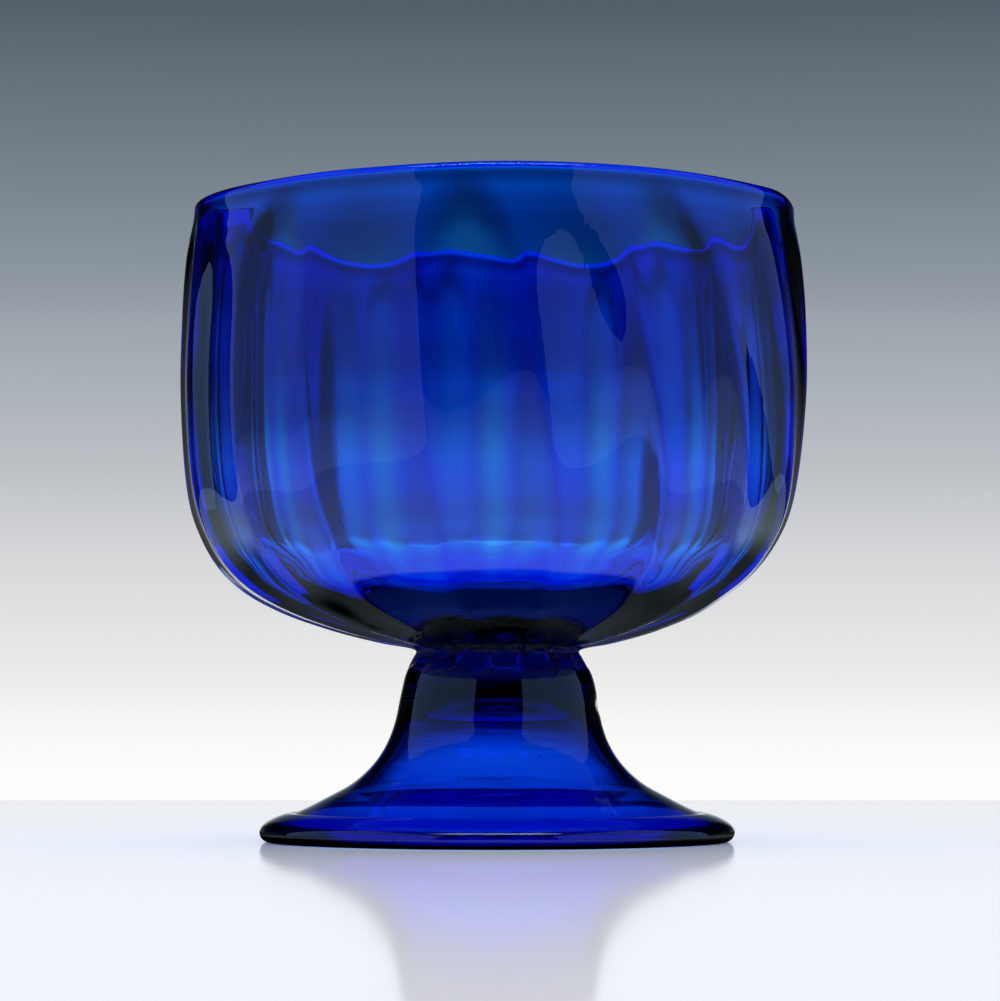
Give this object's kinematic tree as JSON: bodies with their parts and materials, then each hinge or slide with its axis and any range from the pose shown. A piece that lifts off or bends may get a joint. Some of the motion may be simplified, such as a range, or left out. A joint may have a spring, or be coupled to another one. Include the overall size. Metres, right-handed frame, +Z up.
{
  "type": "footed sugar bowl",
  "caption": "Open glass sugar bowl with a ribbed, mould-blown body on a short solid stem and a hollow trumpet foot with a folded edge.",
  "frame": {"origin": "on the surface the foot rests on, at the bowl's axis", "axes": "+Z up along the bowl's axis, and -Y towards the side that the picture shows"},
  "size_m": [0.1221, 0.1212, 0.124],
  "materials": {
    "cobalt_glass": "fire-polished, clear deep blue"
  },
  "bodies": {
    "root": {"bowl": "cobalt_glass", "stem": "cobalt_glass", "foot": "cobalt_glass"}
  },
  "joints": []
}
